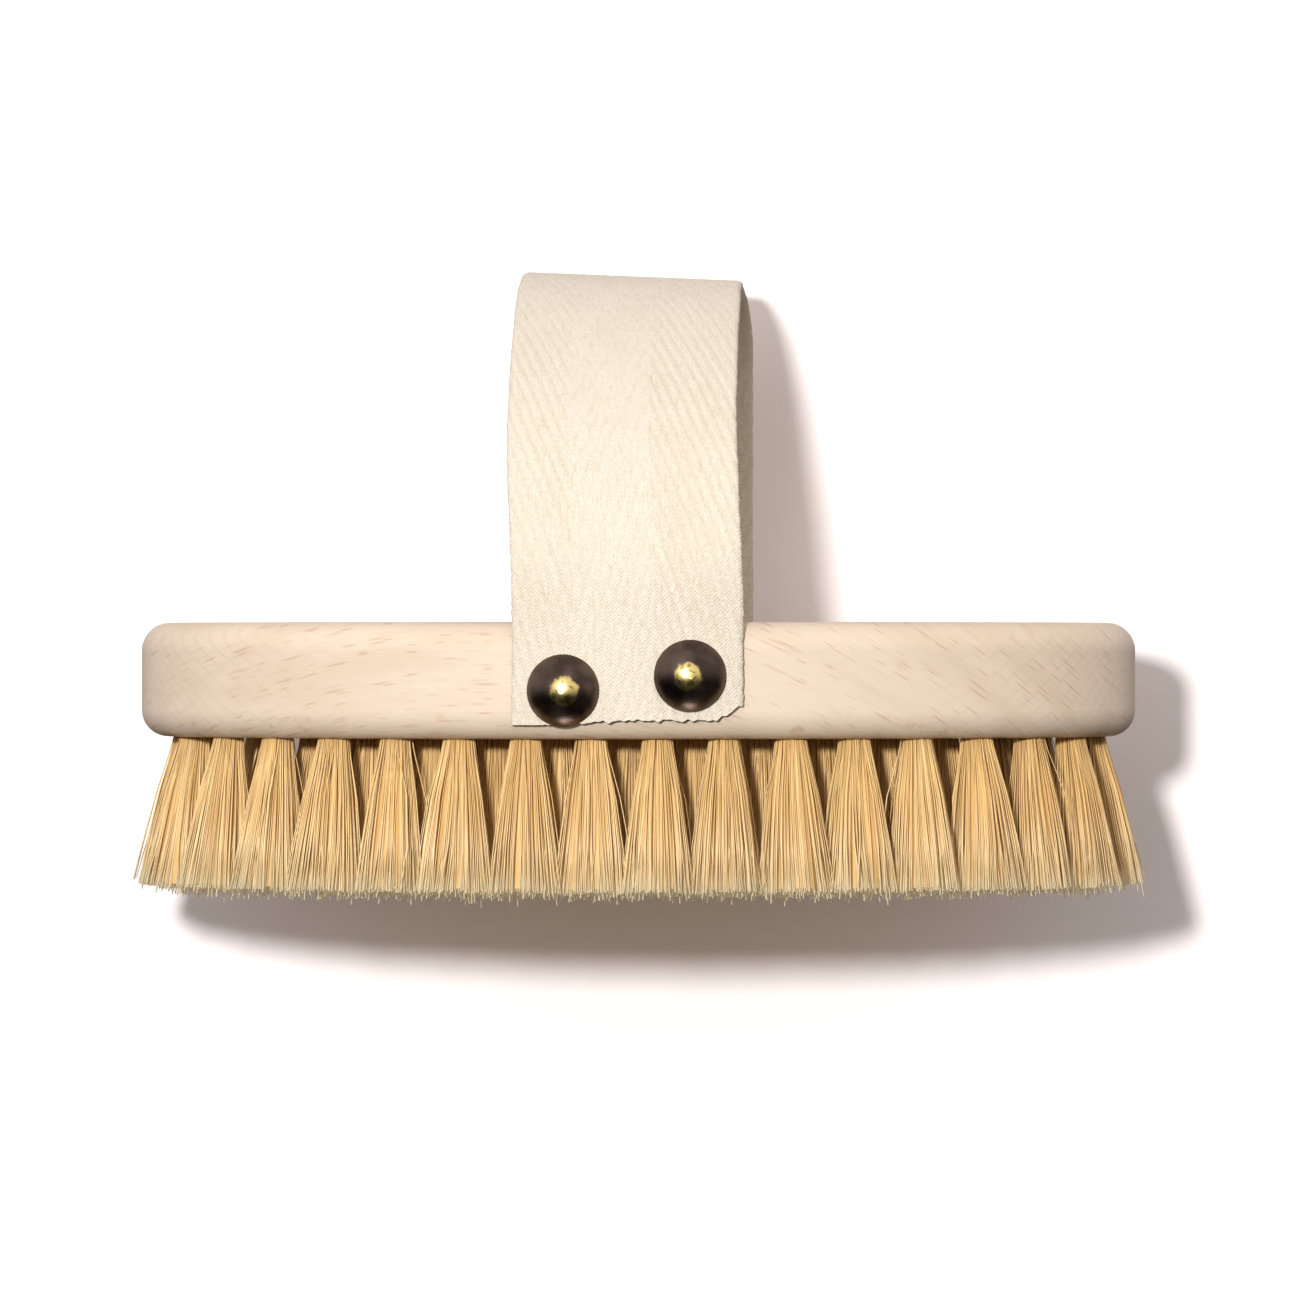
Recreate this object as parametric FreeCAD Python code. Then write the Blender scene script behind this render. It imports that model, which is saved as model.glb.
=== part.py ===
import FreeCAD
import Part
import math
import os

# Body dry brush: an oval beech block, tufts of plant bristle drawn into blind holes in its
# underside, and a loop of herringbone webbing held on each long side by two domed tacks.
# Millimetres and degrees. +Z is up and the brush stands on its bristle tips at z = 0, with
# its length along X. The front is the -Y side.

# ---- Driving dimensions ----

BLOCK_LENGTH = 135.0
BLOCK_DEPTH = 74.0
BLOCK_THICKNESS = 15.4
TOP_ROUNDOVER = 3.8
BOTTOM_ROUNDOVER = 3.6

TRIM_LENGTH = 20.5  # free length of the bristles below the block
TUFT_PITCH = 8.8  # along a ring of tufts
RING_EDGE_INSET = 6.2  # from the block's end to the centre of the end tuft
OUTER_RING_HALF_DEPTH = 31.0
RING_NAMES = ("outer_ring", "second_ring", "third_ring")
RING_START_X = (2.6, -1.4, 2.4)  # where each ring has its first tuft on the front side
CENTRE_ROW_TUFTS = 8
HOLE_DIAMETER = 3.6
HOLE_DEPTH = 9.0
TUFT_ROOT_DIAMETER = 3.5
TUFT_TIP_DIAMETER = 7.4
OUTER_TUFT_TILT = 7.0  # outwards, falling to 0 at the centre row
TUFT_UNTRIMMED = 1.2  # length of a tuft before it is trimmed level, as a share of TRIM_LENGTH

ANCHOR_LENGTH = 3.5
ANCHOR_HEIGHT = 1.6
ANCHOR_THICKNESS = 0.35
ANCHOR_PLAY = 0.1  # between the anchor and the bristles folded round it
FOLD_THICKNESS = 1.0  # bristle above the anchor

WEB_WIDTH = 30.3
WEB_THICKNESS = 1.4
WEB_SKEW = -1.8  # turn of the loop about Z, seen from above
WEB_CENTRE_X = -0.2
WEB_END_Z = 22.4  # cut ends of the webbing
LOOP_HEIGHT = 48.9  # from the block's top to the outside of the loop's crown
LOOP_SET_BACK = 22.0  # of the crown behind the block's middle, as the loop slumps when laid down
LOOP_FRONT_RADIUS = 38.0  # centreline of the front leg above the block

TACK_HEAD_DIAMETER = 9.5
TACK_HEAD_HEIGHT = 2.8
TACK_SHEET = 0.45
TACK_SHANK_DIAMETER = 1.4
TACK_SHANK_LENGTH = 13.0  # below the rim of the head
TACK_POINT_LENGTH = 2.2
TACK_POINT_RADIUS = 0.1
TACK_WELD_DIAMETER = 3.0
TACK_WELD_THICKNESS = 0.4
TACK_FIT = 0.02  # radial play of a shank in its hole
TACKS = (
    # name, side (-1 front, +1 back), x, z
    ("front_left", -1, -9.8, 26.9),
    ("front_right", -1, 6.8, 28.8),
    ("back_left", 1, -7.3, 27.4),
    ("back_right", 1, 9.3, 28.3),
)

LEAN_PIVOT_Z = 28.0  # the loop leans about a line through both pairs of tacks
LEAN_ARC_RADIUS = 18.0
LOOP_SPLIT_Z = 56.0  # the crown sways above this level
JOINT_GAP = 0.3

# ---- Worked-out dimensions ----

HALF_LENGTH = BLOCK_LENGTH / 2
HALF_DEPTH = BLOCK_DEPTH / 2
BLOCK_TOP = TRIM_LENGTH + BLOCK_THICKNESS
LOOP_TOP = BLOCK_TOP + LOOP_HEIGHT
OUTER_RING_HALF_LENGTH = HALF_LENGTH - RING_EDGE_INSET
RING_SPACING = OUTER_RING_HALF_DEPTH / len(RING_NAMES)
CLEAR = 100.0  # reach of a cutting body past the whole brush
OVERRUN = 2.0  # reach of a cutting body past the surface it leaves through
ORIGIN = FreeCAD.Vector(0, 0, 0)
UP = FreeCAD.Vector(0, 0, 1)
DOWN = FreeCAD.Vector(0, 0, -1)
ALONG_Y = FreeCAD.Vector(0, 1, 0)


def slab(low_z, high_z):
    """Everything between two levels."""
    corner = FreeCAD.Vector(-CLEAR, -CLEAR, low_z)
    return Part.makeBox(2 * CLEAR, 2 * CLEAR, high_z - low_z, corner)


def oval_prism(half_length, half_depth, low_z, high_z):
    """An upright prism on an ellipse."""
    outline = Part.Ellipse(FreeCAD.Vector(0, 0, low_z), half_length, half_depth)
    face = Part.Face(Part.Wire(outline.toShape()))
    return face.extrude(FreeCAD.Vector(0, 0, high_z - low_z))


def rim_at(shape, level):
    """The edge that runs all round a prism at one level."""
    middle = FreeCAD.Vector(0, 0, level)
    return min(shape.Edges, key=lambda edge: edge.BoundBox.Center.distanceToPoint(middle))


# ---- Tufts, their holes and their anchors ----


def ring_places(half_length, half_depth, start_x):
    """Evenly spaced (point, outward normal) along an ellipse, from start_x on the front side."""
    steps = 3600
    angles = [2 * math.pi * i / steps - math.pi / 2 for i in range(steps + 1)]
    points = [(half_length * math.cos(a), half_depth * math.sin(a)) for a in angles]
    travelled = [0.0]
    for before, after in zip(points, points[1:]):
        travelled.append(travelled[-1] + math.dist(before, after))
    count = round(travelled[-1] / TUFT_PITCH)
    places = []
    for i in range(count):
        target = (start_x + i * travelled[-1] / count) % travelled[-1]
        nearest = min(range(steps), key=lambda k: abs(travelled[k] - target))
        x, y = points[nearest]
        normal = FreeCAD.Vector(x / half_length**2, y / half_depth**2, 0).normalize()
        places.append((FreeCAD.Vector(x, y, TRIM_LENGTH), normal))
    return places


def tuft_field():
    """Group name to a list of (hole mouth, direction of the bristles)."""
    field = {}
    for ring, name in enumerate(RING_NAMES):
        inset = ring * RING_SPACING
        tilt = math.radians(OUTER_TUFT_TILT * (1 - ring / len(RING_NAMES)))
        places = ring_places(
            OUTER_RING_HALF_LENGTH - inset, OUTER_RING_HALF_DEPTH - inset, RING_START_X[ring]
        )
        field[name] = [
            (mouth, normal * math.sin(tilt) + DOWN * math.cos(tilt)) for mouth, normal in places
        ]
    row_half = OUTER_RING_HALF_LENGTH - OUTER_RING_HALF_DEPTH
    row_step = 2 * row_half / (CENTRE_ROW_TUFTS - 1)
    field["centre_row"] = [
        (FreeCAD.Vector(i * row_step - row_half, 0, TRIM_LENGTH), DOWN)
        for i in range(CENTRE_ROW_TUFTS)
    ]
    return field


def placed(shape, mouth, direction):
    """A shape made about the Z axis with its hole mouth at 0, moved to a tuft's place."""
    copy = shape.copy()
    copy.Placement = FreeCAD.Placement(mouth, FreeCAD.Rotation(DOWN, direction))
    return copy


def tuft_hole():
    """Blind hole, with a drill's overrun below the mouth."""
    return Part.makeCylinder(
        HOLE_DIAMETER / 2, HOLE_DEPTH + OVERRUN, FreeCAD.Vector(0, 0, -OVERRUN)
    )


def anchor_level():
    """Height of the anchor's lower edge above the hole mouth."""
    return HOLE_DEPTH - FOLD_THICKNESS - ANCHOR_HEIGHT - 2 * ANCHOR_PLAY


def anchor():
    """Flat wire pressed across the bottom of the hole."""
    corner = FreeCAD.Vector(-ANCHOR_LENGTH / 2, -ANCHOR_THICKNESS / 2, anchor_level())
    return Part.makeBox(ANCHOR_LENGTH, ANCHOR_THICKNESS, ANCHOR_HEIGHT, corner)


def tuft():
    """Folded bundle: straight in the hole, flared below it, with a slot for the anchor."""
    root = TUFT_ROOT_DIAMETER / 2
    flare = (TUFT_TIP_DIAMETER - TUFT_ROOT_DIAMETER) / 2 / TRIM_LENGTH
    low = -TUFT_UNTRIMMED * TRIM_LENGTH
    high = HOLE_DEPTH - ANCHOR_PLAY
    profile = Part.makePolygon(
        [
            FreeCAD.Vector(0, 0, low),
            FreeCAD.Vector(root - flare * low, 0, low),
            FreeCAD.Vector(root, 0, 0),
            FreeCAD.Vector(root, 0, high),
            FreeCAD.Vector(0, 0, high),
            FreeCAD.Vector(0, 0, low),
        ]
    )
    bundle = Part.Face(profile).revolve(ORIGIN, UP, 360)
    slot = Part.makeBox(
        2 * HOLE_DIAMETER,
        ANCHOR_THICKNESS + 2 * ANCHOR_PLAY,
        ANCHOR_HEIGHT + 2 * ANCHOR_PLAY,
        FreeCAD.Vector(
            -HOLE_DIAMETER, -ANCHOR_THICKNESS / 2 - ANCHOR_PLAY, anchor_level() - ANCHOR_PLAY
        ),
    )
    return bundle.cut(slot)


# ---- Tacks ----


def tack_placement(side, x, z):
    """Turns +Z outwards along the block's side wall and puts the head's rim on the webbing."""
    half_length = HALF_LENGTH + WEB_THICKNESS
    half_depth = HALF_DEPTH + WEB_THICKNESS
    y = side * half_depth * math.sqrt(1 - (x / half_length) ** 2)
    outward = FreeCAD.Vector(x / half_length**2, y / half_depth**2, 0)
    return FreeCAD.Placement(FreeCAD.Vector(x, y, z), FreeCAD.Rotation(UP, outward))


def sphere_cap(rim_radius, height):
    """Solid cap of a sphere on the plane z = 0."""
    radius = (rim_radius**2 + height**2) / (2 * height)
    ball = Part.makeSphere(radius, FreeCAD.Vector(0, 0, height - radius))
    return ball.common(slab(0, CLEAR))


def tack_cap():
    """Domed sheet-metal head, open underneath."""
    outer = sphere_cap(TACK_HEAD_DIAMETER / 2, TACK_HEAD_HEIGHT)
    inner = sphere_cap(TACK_HEAD_DIAMETER / 2 - TACK_SHEET, TACK_HEAD_HEIGHT - TACK_SHEET)
    return outer.cut(inner)


def tack_nail():
    """Pointed shank with the small flat head that is welded under the dome."""
    inner_rim = TACK_HEAD_DIAMETER / 2 - TACK_SHEET
    inner_height = TACK_HEAD_HEIGHT - TACK_SHEET
    inner_radius = (inner_rim**2 + inner_height**2) / (2 * inner_height)
    weld_radius = TACK_WELD_DIAMETER / 2
    ceiling = math.sqrt(inner_radius**2 - weld_radius**2) - (inner_radius - inner_height)
    top = ceiling - TACK_FIT
    shank = TACK_SHANK_DIAMETER / 2
    profile = Part.makePolygon(
        [
            FreeCAD.Vector(0, 0, top),
            FreeCAD.Vector(weld_radius, 0, top),
            FreeCAD.Vector(weld_radius, 0, top - TACK_WELD_THICKNESS),
            FreeCAD.Vector(shank, 0, top - TACK_WELD_THICKNESS),
            FreeCAD.Vector(shank, 0, TACK_POINT_LENGTH - TACK_SHANK_LENGTH),
            FreeCAD.Vector(TACK_POINT_RADIUS, 0, -TACK_SHANK_LENGTH),
            FreeCAD.Vector(0, 0, -TACK_SHANK_LENGTH),
            FreeCAD.Vector(0, 0, top),
        ]
    )
    return Part.Face(profile).revolve(ORIGIN, UP, 360)


def tack_hole(placement):
    """Hole that one shank makes through the webbing and into the block."""
    below = TACK_SHANK_LENGTH + TACK_FIT
    hole = Part.makeCylinder(
        TACK_SHANK_DIAMETER / 2 + TACK_FIT, below + WEB_THICKNESS, FreeCAD.Vector(0, 0, -below)
    )
    hole.Placement = placement
    return hole


# ---- Webbing ----


def lean_cylinder(radius):
    """Cylinder about the lean axis."""
    start = FreeCAD.Vector(WEB_CENTRE_X, -CLEAR, LEAN_PIVOT_Z)
    return Part.makeCylinder(radius, 2 * CLEAR, start, ALONG_Y)


def skewed(shape):
    """Turns a webbing solid about Z to the angle that the loop lies at, and centres it."""
    shape.rotate(ORIGIN, UP, WEB_SKEW)
    shape.translate(FreeCAD.Vector(WEB_CENTRE_X, 0, 0))
    return shape


def web_band(low_z, high_z):
    """Everything within the webbing's width, between two levels."""
    corner = FreeCAD.Vector(-WEB_WIDTH / 2, -CLEAR, low_z)
    return skewed(Part.makeBox(WEB_WIDTH, 2 * CLEAR, high_z - low_z, corner))


def web_tab(side):
    """Tacked end of the webbing, lying on the block's side wall."""
    high = LEAN_PIVOT_Z + LEAN_ARC_RADIUS
    shell = oval_prism(
        HALF_LENGTH + WEB_THICKNESS, HALF_DEPTH + WEB_THICKNESS, WEB_END_Z, high
    ).cut(oval_prism(HALF_LENGTH, HALF_DEPTH, WEB_END_Z - OVERRUN, high + OVERRUN))
    half_space = Part.makeBox(
        2 * CLEAR, CLEAR, CLEAR, FreeCAD.Vector(-CLEAR, min(side, 0) * CLEAR, 0)
    )
    above_arc = slab(LEAN_PIVOT_Z, CLEAR).cut(lean_cylinder(LEAN_ARC_RADIUS))
    return shell.common(half_space).common(web_band(0, CLEAR)).cut(above_arc)


def line_yz(start_y, start_z, end_y, end_z):
    """Straight edge in the YZ plane."""
    start = FreeCAD.Vector(0, start_y, start_z)
    end = FreeCAD.Vector(0, end_y, end_z)
    return Part.LineSegment(start, end).toShape()


def arc_yz(centre_y, centre_z, radius, start, end):
    """Arc in the YZ plane between two angles from the +Y direction, in radians."""
    points = [
        FreeCAD.Vector(0, centre_y + radius * math.cos(a), centre_z + radius * math.sin(a))
        for a in (start, (start + end) / 2, end)
    ]
    return Part.Arc(*points).toShape()


def web_loop():
    """Loop of webbing between the two tabs: a sloping front leg, a crown and an upright back leg."""
    span = HALF_DEPTH + WEB_THICKNESS / 2
    apex_z = LOOP_TOP - WEB_THICKNESS / 2
    height = apex_z - BLOCK_TOP
    reach = span + LOOP_SET_BACK
    front = LOOP_FRONT_RADIUS
    crown = (height**2 + reach**2 - 2 * front * reach) / (2 * (height - front))
    crown_z = apex_z - crown
    front_y = front - span
    join = math.atan2(BLOCK_TOP - crown_z, front_y - LOOP_SET_BACK)
    back = span - LOOP_SET_BACK
    back_z = apex_z - back
    foot_z = LEAN_PIVOT_Z
    half = WEB_THICKNESS / 2
    edges = []
    for offset in (half, -half):
        foot = span + offset
        edges += [
            line_yz(-foot, foot_z, -foot, BLOCK_TOP),
            arc_yz(front_y, BLOCK_TOP, front + offset, math.pi, join),
            arc_yz(LOOP_SET_BACK, crown_z, crown + offset, join, math.pi / 2),
            arc_yz(LOOP_SET_BACK, back_z, back + offset, math.pi / 2, 0),
            line_yz(foot, back_z, foot, foot_z),
        ]
    for sign in (1, -1):
        inner = sign * (span - half)
        outer = sign * (span + half)
        edges.append(line_yz(outer, foot_z, inner, foot_z))
    outline = Part.Wire(Part.__sortEdges__(edges))
    arch = Part.Face(outline).extrude(FreeCAD.Vector(WEB_WIDTH, 0, 0))
    arch.translate(FreeCAD.Vector(-WEB_WIDTH / 2, 0, 0))
    return skewed(arch)


# ---- Assembly ----


def make_parts():
    """Node name to shape."""
    parts = {}
    field = tuft_field()

    block = oval_prism(HALF_LENGTH, HALF_DEPTH, TRIM_LENGTH, BLOCK_TOP)
    for radius, level in ((TOP_ROUNDOVER, BLOCK_TOP), (BOTTOM_ROUNDOVER, TRIM_LENGTH)):
        block = block.makeFillet(radius, [rim_at(block, level)])

    trim = slab(0, CLEAR)
    for name, places in field.items():
        block = block.cut([placed(tuft_hole(), *place) for place in places])
        bundles = [placed(tuft(), *place).common(trim) for place in places]
        parts[f"tufts_{name}"] = Part.makeCompound([b.Solids[0] for b in bundles])
        parts[f"anchors_{name}"] = Part.makeCompound([placed(anchor(), *p) for p in places])

    tabs = {-1: web_tab(-1), 1: web_tab(1)}
    for name, side, x, z in TACKS:
        placement = tack_placement(side, x, z)
        hole = tack_hole(placement)
        block = block.cut(hole)
        tabs[side] = tabs[side].cut(hole)
        cap = tack_cap()
        cap.Placement = placement
        parts[f"tack_cap_{name}"] = cap
        nail = tack_nail()
        nail.Placement = placement
        parts[f"tack_nail_{name}"] = nail
    parts["block"] = block.Solids[0]
    parts["strap_front_tab"] = tabs[-1].Solids[0]
    parts["strap_back_tab"] = tabs[1].Solids[0]

    loop = web_loop()
    legs = loop.common(slab(0, LOOP_SPLIT_Z)).cut(lean_cylinder(LEAN_ARC_RADIUS + JOINT_GAP))
    legs = sorted(legs.Solids, key=lambda leg: leg.CenterOfMass.y)
    parts["strap_front_leg"] = legs[0]
    parts["strap_back_leg"] = legs[-1]
    parts["strap_crown"] = loop.common(slab(LOOP_SPLIT_Z + JOINT_GAP, CLEAR)).Solids[0]
    return parts


os.makedirs("parts", exist_ok=True)
for node, shape in make_parts().items():
    shape.exportStep(f"parts/{node}.step")
    print(f"{node}: {len(shape.Solids)} solids, {shape.Volume:.1f} mm3, valid {shape.isValid()}")
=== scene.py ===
import math
from collections import namedtuple

import bpy
import numpy as np
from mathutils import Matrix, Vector


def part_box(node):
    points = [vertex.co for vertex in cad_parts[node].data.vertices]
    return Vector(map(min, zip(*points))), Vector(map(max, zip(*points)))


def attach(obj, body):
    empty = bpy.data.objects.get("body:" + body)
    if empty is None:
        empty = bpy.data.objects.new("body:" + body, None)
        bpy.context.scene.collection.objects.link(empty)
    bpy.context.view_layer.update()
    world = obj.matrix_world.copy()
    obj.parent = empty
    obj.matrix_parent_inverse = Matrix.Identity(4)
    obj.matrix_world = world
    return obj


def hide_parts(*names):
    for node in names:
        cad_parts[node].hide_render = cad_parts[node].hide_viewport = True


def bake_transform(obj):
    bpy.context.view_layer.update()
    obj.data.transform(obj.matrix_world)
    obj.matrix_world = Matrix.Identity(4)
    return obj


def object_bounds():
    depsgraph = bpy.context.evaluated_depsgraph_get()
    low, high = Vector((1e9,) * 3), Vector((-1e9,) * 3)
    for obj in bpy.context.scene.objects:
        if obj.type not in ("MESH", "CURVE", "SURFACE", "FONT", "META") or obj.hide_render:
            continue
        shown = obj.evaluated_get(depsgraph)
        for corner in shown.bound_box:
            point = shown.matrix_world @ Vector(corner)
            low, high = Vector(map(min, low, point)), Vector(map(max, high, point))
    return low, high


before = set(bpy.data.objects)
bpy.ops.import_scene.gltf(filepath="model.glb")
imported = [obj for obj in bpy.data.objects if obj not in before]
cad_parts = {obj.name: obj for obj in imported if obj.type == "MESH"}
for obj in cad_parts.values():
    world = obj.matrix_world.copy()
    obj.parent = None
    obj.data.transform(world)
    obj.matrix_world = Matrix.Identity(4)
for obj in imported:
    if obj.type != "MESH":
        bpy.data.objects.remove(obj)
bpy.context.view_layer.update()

# Body dry brush. Metres, in the CAD frame: +Z up, length along X, front towards -Y.

MM = 0.001
BLOCK_LO, BLOCK_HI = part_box("block")
HALF_LENGTH = (BLOCK_HI.x - BLOCK_LO.x) / 2
HALF_DEPTH = (BLOCK_HI.y - BLOCK_LO.y) / 2
BLOCK_TOP = BLOCK_HI.z
BLOCK_BOTTOM = BLOCK_LO.z
LOOP_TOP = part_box("strap_crown")[1].z
TAB_END_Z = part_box("strap_front_tab")[0].z

# ---- Camera, stage and light ----

CAMERA_PLACE = (1.56 * MM, -0.925, 32.2 * MM)
CAMERA_LENS = 188.35  # in millimetres, as the sensor's width
SENSOR_WIDTH = 36.0
CAMERA_REACH = 10.0
SURFACE_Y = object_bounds()[1].y + 0.5 * MM  # the white surface that the brush lies on, on its back
SURFACE_SIZE = 3.0
KEY_PLACE = (-0.12, -0.75, 0.13)
KEY_DIAMETER = 0.065
KEY_POWER = 5.85
KEY_COLOUR = (1.0, 1.0, 1.0)
BOUNCE_PLACE = (0.0, 0.03, -0.55)
BOUNCE_DIAMETER = 0.25
BOUNCE_POWER = 1.1
BOUNCE_COLOUR = (1.0, 0.94, 0.91)
FILL_RISES = -0.25  # the fill is weak in directions whose Z is below this
FILL_FULL = 0.2  # and full in directions whose Z is above this
FILL_WEAK = 0.02
FILL_STRENGTH = 0.86
FILL_COLOUR = (1.0, 0.94, 0.92, 1.0)
SURFACE_COLOUR = (1.0, 0.935, 0.925, 1.0)
BACKGROUND_COLOUR = (1.0, 1.0, 1.0, 1.0)
BACKGROUND_STRENGTH = 1.0

# A noise has cells of these sizes in millimetres. Its mask rises between the levels low and high.
Noise = namedtuple("Noise", "sizes detail roughness low high strength", defaults=(0.0, 1.0, 1.0))


def add_object(name, data):
    """New object in the scene."""
    thing = bpy.data.objects.new(name, data)
    bpy.context.collection.objects.link(thing)
    return thing


def empty_graph(owner):
    """Helper that fills the node tree of a new material or world."""
    owner.use_nodes = True
    owner.node_tree.nodes.clear()
    return Graph(owner.node_tree)


def new_material(name):
    """New material, and the helper that fills its node tree."""
    material = bpy.data.materials.new(name)
    return material, empty_graph(material)


class Graph:
    """Small helper for building a node tree. Most methods return the new node's output."""

    def __init__(self, tree):
        self.tree = tree

    def node(self, kind, inputs=None, **settings):
        """The new node itself. Its inputs are values or the outputs of other nodes."""
        node = self.tree.nodes.new(kind)
        for key, value in settings.items():
            setattr(node, key, value)
        for key, value in (inputs or {}).items():
            self.feed(node.inputs[key], value)
        return node

    def feed(self, socket, value):
        """Gives a socket a value, or links it to the output of another node."""
        if isinstance(value, bpy.types.NodeSocket):
            self.tree.links.new(value, socket)
        else:
            socket.default_value = value

    def math(self, operation, *values):
        node = self.node("ShaderNodeMath", operation=operation)
        for socket, value in zip(node.inputs, values):
            self.feed(socket, value)
        return node.outputs[0]

    def vector(self, operation, *values):
        node = self.node("ShaderNodeVectorMath", operation=operation)
        for socket, value in zip(node.inputs, values):
            self.feed(socket, value)
        return node.outputs["Value" if operation == "DISTANCE" else "Vector"]

    def ramp(self, value, stops):
        """Eased ramp through stops of (place, colour or grey level)."""
        node = self.node("ShaderNodeValToRGB", {"Fac": value})
        ramp = node.color_ramp
        ramp.interpolation = "EASE"
        while len(ramp.elements) < len(stops):
            ramp.elements.new(0.5)  # its place is set below
        for element, (place, colour) in zip(ramp.elements, stops):
            element.position = place
            levels = colour if isinstance(colour, tuple) else (colour,) * 3
            element.color = (*levels, 1.0)
        return node.outputs["Color"]

    def mix(self, factor, a, b):
        """Colour a mixed with colour b. Either is three numbers or an output."""
        node = self.node("ShaderNodeMix", data_type="RGBA")
        self.feed(node.inputs["Factor"], factor)
        for name, value in (("A", a), ("B", b)):
            socket = [s for s in node.inputs if s.name == name and s.type == "RGBA"][0]
            self.feed(socket, (*value, 1.0) if isinstance(value, tuple) else value)
        return [s for s in node.outputs if s.type == "RGBA"][0]

    def object_place(self):
        return self.node("ShaderNodeTexCoord").outputs["Object"]

    def scaled(self, vector, sizes):
        """The vector counted in cells of these sizes in millimetres."""
        scale = [1.0 / (MM * size) for size in sizes]
        return self.node("ShaderNodeMapping", {"Vector": vector, "Scale": scale}).outputs[0]

    def noise(self, vector, kind):
        inputs = {
            "Vector": self.scaled(vector, kind.sizes),
            "Scale": 1.0,
            "Detail": kind.detail,
            "Roughness": kind.roughness,
        }
        return self.node("ShaderNodeTexNoise", inputs).outputs["Fac"]

    def mask(self, noise, kind):
        """0 where the noise is below the kind's low level, and its strength above the high one."""
        rise = self.ramp(noise, [(kind.low, 0.0), (kind.high, 1.0)])
        return self.math("MULTIPLY", rise, kind.strength)

    def surface(self, colour, roughness, normal=None, **constants):
        """Principled surface and its output. Constants are set on the shader's own sockets."""
        shader = self.node("ShaderNodeBsdfPrincipled")
        self.feed(shader.inputs["Base Color"], colour)
        self.feed(shader.inputs["Roughness"], roughness)
        for name, value in constants.items():
            shader.inputs[name.replace("_", " ")].default_value = value
        if normal is not None:
            self.feed(shader.inputs["Normal"], normal)
        self.node("ShaderNodeOutputMaterial", {"Surface": shader.outputs[0]})

    def bump(self, height, distance, strength):
        inputs = {"Height": height, "Distance": distance, "Strength": strength}
        return self.node("ShaderNodeBump", inputs).outputs["Normal"]


def add_camera():
    """Camera square on to the front, level with the block."""
    data = bpy.data.cameras.new("camera")
    data.lens = CAMERA_LENS
    data.sensor_width = SENSOR_WIDTH
    data.clip_end = CAMERA_REACH
    camera = add_object("camera", data)
    camera.location = CAMERA_PLACE
    camera.rotation_euler = (math.radians(90), 0, 0)
    bpy.context.scene.camera = camera


def add_surface():
    """White surface behind the brush, which shows only its front and only takes shadows."""
    half = SURFACE_SIZE / 2
    corners = [(-half, SURFACE_Y, -half), (half, SURFACE_Y, -half),
               (half, SURFACE_Y, half), (-half, SURFACE_Y, half)]
    mesh = bpy.data.meshes.new("white_surface")
    mesh.from_pydata(corners, [], [(0, 1, 2, 3)])
    surface = add_object("white_surface", mesh)
    surface.visible_diffuse = False
    surface.visible_glossy = False
    surface.visible_transmission = False
    surface.visible_shadow = False
    material, graph = new_material("white_surface")
    front = graph.node("ShaderNodeBsdfDiffuse", {"Color": SURFACE_COLOUR})
    clear = graph.node("ShaderNodeBsdfTransparent")
    facing = graph.node("ShaderNodeNewGeometry").outputs["Backfacing"]
    shaders = {0: facing, 1: front.outputs[0], 2: clear.outputs[0]}
    mixed = graph.node("ShaderNodeMixShader", shaders)
    graph.node("ShaderNodeOutputMaterial", {"Surface": mixed.outputs[0]})
    mesh.materials.append(material)


def add_lamp(name, place, diameter, power, colour):
    """Round soft lamp that faces the middle of the block's top."""
    data = bpy.data.lights.new(name, "AREA")
    data.shape = "DISK"
    data.size = diameter
    data.energy = power
    data.color = colour
    lamp = add_object(name, data)
    lamp.location = place
    aim = Vector((0, 0, BLOCK_TOP)) - Vector(place)
    lamp.rotation_euler = aim.to_track_quat("-Z", "Y").to_euler()


def add_light():
    """Key light from the front and upper left, a bounce from below, and a fill from above."""
    add_lamp("key", KEY_PLACE, KEY_DIAMETER, KEY_POWER, KEY_COLOUR)
    add_lamp("bounce", BOUNCE_PLACE, BOUNCE_DIAMETER, BOUNCE_POWER, BOUNCE_COLOUR)
    world = bpy.data.worlds.new("studio")
    graph = empty_graph(world)
    seen = graph.node("ShaderNodeLightPath").outputs["Is Camera Ray"]
    direction = graph.node("ShaderNodeTexCoord").outputs["Generated"]
    up = graph.node("ShaderNodeSeparateXYZ", {"Vector": direction}).outputs["Z"]
    level = graph.node("ShaderNodeMapRange", {
        "Value": up, "From Min": FILL_RISES, "From Max": FILL_FULL,
        "To Min": FILL_WEAK, "To Max": FILL_STRENGTH})
    fill = graph.node("ShaderNodeBackground", {
        "Color": FILL_COLOUR, "Strength": level.outputs["Result"]})
    white = graph.node("ShaderNodeBackground", {
        "Color": BACKGROUND_COLOUR, "Strength": BACKGROUND_STRENGTH})
    shaders = {0: seen, 1: fill.outputs[0], 2: white.outputs[0]}
    mixed = graph.node("ShaderNodeMixShader", shaders)
    graph.node("ShaderNodeOutputWorld", {"Surface": mixed.outputs[0]})
    bpy.context.scene.world = world
    bpy.context.scene.view_settings.view_transform = "Standard"


# ---- Materials ----

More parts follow.
